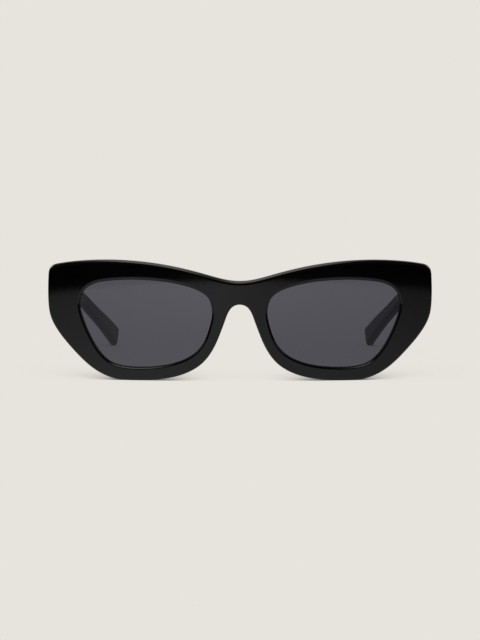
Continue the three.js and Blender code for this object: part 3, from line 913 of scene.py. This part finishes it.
def metal_material(name, color, roughness, scale):
    """Worked metal: grain in its roughness and a fine bump."""
    made, nodes, links = new_material(name)
    out = nodes.new("ShaderNodeOutputMaterial")
    shader = nodes.new("ShaderNodeBsdfPrincipled")
    place = nodes.new("ShaderNodeTexCoord")
    stretch = nodes.new("ShaderNodeMapping")
    stretch.inputs["Scale"].default_value = METAL_GRAIN_STRETCH
    links.new(place.outputs["Object"], stretch.inputs["Vector"])
    grain = noise(nodes, links, stretch.outputs["Vector"], scale, 5)
    bump = nodes.new("ShaderNodeBump")
    bump.inputs["Strength"].default_value = METAL_BUMP_STRENGTH
    bump.inputs["Distance"].default_value = METAL_BUMP_DEPTH
    shader.inputs["Base Color"].default_value = (*color, 1)
    shader.inputs["Metallic"].default_value = 1
    links.new(spread_over(nodes, links, grain, *roughness), shader.inputs["Roughness"])
    links.new(grain, bump.inputs["Height"])
    links.new(bump.outputs["Normal"], shader.inputs["Normal"])
    links.new(shader.outputs["BSDF"], out.inputs["Surface"])
    return made


# ---------------------------------------------------------------- the stage

PALE = (0.799, 0.776, 0.723)
MIRRORED_PALE = (0.772, 0.768, 0.775)
TABLE_MIRRORED = 0.685  # brightness of the table as the polished surfaces mirror it
TABLE_REACH_AHEAD = 0.636  # the light on the table ends in an oval ahead of the glasses
TABLE_REACH_ASIDE = (0.482, 0.522)  # to the wearer's right and left
TABLE_BRIGHTEST_X = -0.045
TABLE_FADE = (0.66, 0.42)  # distance over which its light fades to the wearer's right and left
TABLE_SOFTNESS = 0.006  # of the oval's edge, as a share of its size
TABLE_SOFTER_FROM = 0.13  # further aside than this the edge grows softer
TABLE_SOFTENING = 0.27
TABLE_HALF = 3.0
# Soft shadows where the glasses stand: reach, depth, how gathered, and the way the light leans
CONTACT_SHADOW = (0.011, 0.58, 2.0, (0, -0.7, 0.71))
CAST_SHADOW = (0.06, 1.9, 2.7, (0, -0.6, 0.8))
LEAST_LIGHT = 0.15
SHADOW_SAMPLES = 16
MIDDLE_CAST = 0.25  # share of the cast shadow under the bridge, where light comes between the rims
MIDDLE_X = (0.008, 0.032)


def soft_shadow(nodes, links, reach, depth, gather, lean):
    """How much light is left next to things within reach that stand on the side the light leans to."""
    near = nodes.new("ShaderNodeAmbientOcclusion")
    near.inputs["Distance"].default_value = reach
    near.samples = SHADOW_SAMPLES
    towards = nodes.new("ShaderNodeCombineXYZ")
    for socket, value in zip(towards.inputs, lean):
        socket.default_value = value
    links.new(towards.outputs["Vector"], near.inputs["Normal"])
    hidden = less_than_one(nodes, links, near.outputs["AO"])
    gathered = math_node(nodes, links, "POWER", hidden, gather)
    left_over = math_node(nodes, links, "MULTIPLY_ADD", gathered, -depth, 1.0)
    return math_node(nodes, links, "MAXIMUM", left_over, LEAST_LIGHT)


def by_side(nodes, links, x, rightwards, leftwards):
    """Distances to the wearer's right, as negative numbers, and to the left, each in its own unit."""
    right = math_node(nodes, links, "MINIMUM", x, 0.0)
    left = math_node(nodes, links, "MAXIMUM", x, 0.0)
    return (
        math_node(nodes, links, "DIVIDE", right, rightwards),
        math_node(nodes, links, "DIVIDE", left, leftwards),
    )


def table_shadow(nodes, links, x):
    """The light left on the table where the glasses stand."""
    contact = soft_shadow(nodes, links, *CONTACT_SHADOW)
    cast = soft_shadow(nodes, links, *CAST_SHADOW)
    off_middle = math_node(nodes, links, "ABSOLUTE", x)
    open_middle = smooth_step(nodes, links, off_middle, *MIDDLE_X, MIDDLE_CAST, 1.0)
    cast_loss = math_node(nodes, links, "MULTIPLY", less_than_one(nodes, links, cast), open_middle)
    return math_node(nodes, links, "MULTIPLY", contact, less_than_one(nodes, links, cast_loss))


def table_in_mirror(nodes, links, x, ahead):
    """The table as the glasses mirror it: lit inside an oval, brightest a little to the right."""
    far = math_node(nodes, links, "DIVIDE", ahead, TABLE_REACH_AHEAD)
    wide = combined(nodes, links, "ADD", *by_side(nodes, links, x, *TABLE_REACH_ASIDE))
    far_squared = math_node(nodes, links, "MULTIPLY", far, far)
    squared = math_node(nodes, links, "MULTIPLY_ADD", wide, wide, far_squared)
    reach = math_node(nodes, links, "SQRT", squared)
    off_middle = math_node(nodes, links, "ABSOLUTE", x)
    outside = math_node(nodes, links, "SUBTRACT", off_middle, TABLE_SOFTER_FROM)
    growing = math_node(nodes, links, "MAXIMUM", outside, 0.0)
    softness = math_node(nodes, links, "MULTIPLY_ADD", growing, TABLE_SOFTENING, TABLE_SOFTNESS)
    past_edge = math_node(nodes, links, "SUBTRACT", reach, 1.0)
    past = math_node(nodes, links, "DIVIDE", past_edge, softness)
    inside = smooth_step(nodes, links, past, -1.0, 1.0, 1.0, 0.0)
    behind = math_node(nodes, links, "LESS_THAN", ahead, 0.0)
    lit = math_node(nodes, links, "MAXIMUM", inside, behind)
    aside = math_node(nodes, links, "SUBTRACT", x, TABLE_BRIGHTEST_X)
    to_right, to_left = by_side(nodes, links, aside, *TABLE_FADE)
    fade = math_node(nodes, links, "EXPONENT", math_node(nodes, links, "SUBTRACT", to_right, to_left))
    return combined(nodes, links, "MULTIPLY", fade, TABLE_MIRRORED, lit)


def table_material():
    """The pale table. Seen directly it is even, with soft contact shadows. Mirrored in the glasses it
    ends at the edge of the light ahead of them."""
    made, nodes, links = new_material("pale_table")
    out = nodes.new("ShaderNodeOutputMaterial")
    glow = nodes.new("ShaderNodeEmission")
    place = nodes.new("ShaderNodeTexCoord")
    split = nodes.new("ShaderNodeSeparateXYZ")
    links.new(place.outputs["Object"], split.inputs["Vector"])
    x, y, _ = split.outputs
    ahead = math_node(nodes, links, "SUBTRACT", FRONT_Y * METRES, y)
    shadow = table_shadow(nodes, links, x)
    mirrored_light = table_in_mirror(nodes, links, x, ahead)
    glossy = nodes.new("ShaderNodeLightPath").outputs["Is Glossy Ray"]
    color = nodes.new("ShaderNodeMix")
    color.data_type = "RGBA"
    color.inputs["A"].default_value = (*PALE, 1)
    color.inputs["B"].default_value = (*MIRRORED_PALE, 1)
    links.new(glossy, color.inputs["Factor"])
    links.new(color.outputs["Result"], glow.inputs["Color"])
    direct = math_node(nodes, links, "MULTIPLY", shadow, less_than_one(nodes, links, glossy))
    in_mirror = math_node(nodes, links, "MULTIPLY", mirrored_light, glossy)
    links.new(math_node(nodes, links, "ADD", direct, in_mirror), glow.inputs["Strength"])
    links.new(glow.outputs["Emission"], out.inputs["Surface"])
    return made


def add_table():
    corners = [(-1, -1), (1, -1), (1, 1), (-1, 1)]
    points = [(x * TABLE_HALF, y * TABLE_HALF, 0) for x, y in corners]
    data = bpy.data.meshes.new("table")
    data.from_pydata(points, [], [(0, 1, 2, 3)])
    data.materials.append(table_material())
    table = bpy.data.objects.new("table", data)
    bpy.context.scene.collection.objects.link(table)


# The studio that the polished surfaces mirror, by direction. Each X, Y or Z pair is where a light's
# soft edge starts and ends, and DARK_GLOW is the brightness at the two ends of DARK_Z.
BACKDROP_Y = (0.05, 0.3)
BACKDROP_GLOW = 0.62
OVERHEAD_MIDDLE_X = -0.1
OVERHEAD_X = (0.12, 0.36)
OVERHEAD_Y = (0.1, 0.35)
OVERHEAD_Z = (0.72, 0.8)
OVERHEAD_GLOW = 2.6
SIDE_BOX_X = (0.45, 0.6)
SIDE_BOX_Y = (-0.1, 0.1)
SIDE_BOX_LOW_Z = (0.3, 0.4)
SIDE_BOX_HIGH_Z = (0.6, 0.75)
SIDE_BOX_GLOW = 1.4
DARK_Z = (0.0, 0.7)
DARK_GLOW = (0.015, 0.06)


def overhead_box(nodes, links, x, y, z):
    aside = math_node(nodes, links, "SUBTRACT", x, OVERHEAD_MIDDLE_X)
    off_centre = math_node(nodes, links, "ABSOLUTE", aside)
    across = smooth_step(nodes, links, off_centre, *OVERHEAD_X, 1.0, 0.0)
    up = smooth_step(nodes, links, z, *OVERHEAD_Z, 0.0, OVERHEAD_GLOW)
    end = smooth_step(nodes, links, y, *OVERHEAD_Y, 1.0, 0.0)
    return combined(nodes, links, "MULTIPLY", up, across, end)


def side_boxes(nodes, links, x, y, z):
    aside = smooth_step(nodes, links, math_node(nodes, links, "ABSOLUTE", x), *SIDE_BOX_X)
    ahead = smooth_step(nodes, links, y, *SIDE_BOX_Y)
    low = smooth_step(nodes, links, z, *SIDE_BOX_LOW_Z)
    high = smooth_step(nodes, links, z, *SIDE_BOX_HIGH_Z, SIDE_BOX_GLOW, 0.0)
    return combined(nodes, links, "MULTIPLY", aside, ahead, low, high)


def add_world():
    """Pale to the camera, and a dark studio with soft boxes in the polished surfaces."""
    world = bpy.data.worlds.new("studio")
    bpy.context.scene.world = world
    world.use_nodes = True
    nodes, links = world.node_tree.nodes, world.node_tree.links
    nodes.clear()
    out = nodes.new("ShaderNodeOutputWorld")
    place = nodes.new("ShaderNodeTexCoord")
    split = nodes.new("ShaderNodeSeparateXYZ")
    links.new(place.outputs["Generated"], split.inputs["Vector"])
    x, y, z = split.outputs
    backdrop = smooth_step(nodes, links, y, *BACKDROP_Y, 0.0, BACKDROP_GLOW)
    overhead = overhead_box(nodes, links, x, y, z)
    sides = side_boxes(nodes, links, x, y, z)
    dark = smooth_step(nodes, links, z, *DARK_Z, *DARK_GLOW)
    total = combined(nodes, links, "ADD", backdrop, overhead, sides, dark)
    mirror = nodes.new("ShaderNodeBackground")
    mirror.inputs["Color"].default_value = (*PALE, 1)
    links.new(total, mirror.inputs["Strength"])
    plain = nodes.new("ShaderNodeBackground")
    plain.inputs["Color"].default_value = (*PALE, 1)
    ray = nodes.new("ShaderNodeLightPath")
    mix = nodes.new("ShaderNodeMixShader")
    links.new(ray.outputs["Is Glossy Ray"], mix.inputs["Fac"])
    links.new(plain.outputs["Background"], mix.inputs[1])
    links.new(mirror.outputs["Background"], mix.inputs[2])
    links.new(mix.outputs["Shader"], out.inputs["Surface"])


SENSOR_WIDTH = 36
CAMERA_DISTANCE = 0.9
CAMERA_HEIGHT = 0.091
CAMERA_AIM_Z = 0.02295
CAMERA_FOCAL = 136.1
CAMERA_SIDE = 0.005  # the camera stands a little to the wearer's left
CAMERA_AIM_X = 0.0001


def add_camera():
    data = bpy.data.cameras.new("camera")
    data.sensor_width = SENSOR_WIDTH
    data.lens = CAMERA_FOCAL
    camera = bpy.data.objects.new("camera", data)
    bpy.context.scene.collection.objects.link(camera)
    camera.location = (CAMERA_SIDE, FRONT_Y * METRES - CAMERA_DISTANCE, CAMERA_HEIGHT)
    aim = Vector((CAMERA_AIM_X, FRONT_Y * METRES, CAMERA_AIM_Z))
    camera.rotation_euler = (aim - camera.location).to_track_quat("-Z", "Y").to_euler()
    bpy.context.scene.camera = camera


# ---------------------------------------------------------------- the assembly

ACETATE = acetate_material()
LENS = lens_material()
NICKEL_SILVER = metal_material("nickel_silver", (0.72, 0.69, 0.62), (0.3, 0.4), 450)
STEEL = metal_material("steel", (0.74, 0.74, 0.75), (0.2, 0.3), 900)



def add_side(name, side):
    """The pieces of one side, all but the front itself."""
    temple = f"temple_{name}"

    def add(piece_name, solid, body, node, slot, look):
        piece(piece_name, solid, body, node, look, side)

    add(f"lens_{name}_glass", lens_solid(), "front", f"lens_{name}", "lens", LENS)
    add(f"pad_{name}", pad_solid(), "front", f"nose_pad_{name}", "acetate", ACETATE)
    add(f"arm_{name}", temple_solid(), temple, temple, "acetate", ACETATE)
    metal = ("hinge_metal", NICKEL_SILVER)
    add(f"wire_{name}", core_wire_solid(), temple, f"core_wire_{name}", *metal)
    add(f"front_leaf_{name}", front_leaf_solid(), "front", f"hinge_front_leaf_{name}", *metal)
    add(f"temple_leaf_{name}", temple_leaf_solid(), temple, f"hinge_temple_leaf_{name}", *metal)
    steel = ("screw_steel", STEEL)
    add(f"screw_{name}", screw_solid(), "front", f"hinge_screw_{name}", *steel)
    for place_name in ("inner", "outer"):
        node = f"front_rivet_{place_name}_{name}"
        low, high = cad_box(node)
        x = abs(low[0] + high[0]) / 2
        solid = turned_solid(RIVET_PROFILE, lambda u, v, h: (x + u, FRONT_LEAF_BACK_Y + h, HINGE_Z + v))
        add(f"{node}_head", solid, "front", node, *steel)
    for place_name in ("front", "rear"):
        node = f"temple_rivet_{place_name}_{name}"
        low, high = cad_box(node)
        y = (low[1] + high[1]) / 2
        solid = turned_solid(RIVET_PROFILE, lambda u, v, h: (TEMPLE_LEAF_FACE_X - h, y + u, HINGE_Z + v))
        add(f"{node}_head", solid, temple, node, *steel)


piece("front", front_solid(), "front", "front_frame", ACETATE)
for side_name, side_sign in SIDES.items():
    add_side(side_name, side_sign)

add_table()
add_world()
add_camera()
bpy.context.scene.view_settings.view_transform = "Standard"
bpy.context.scene.view_settings.look = "None"
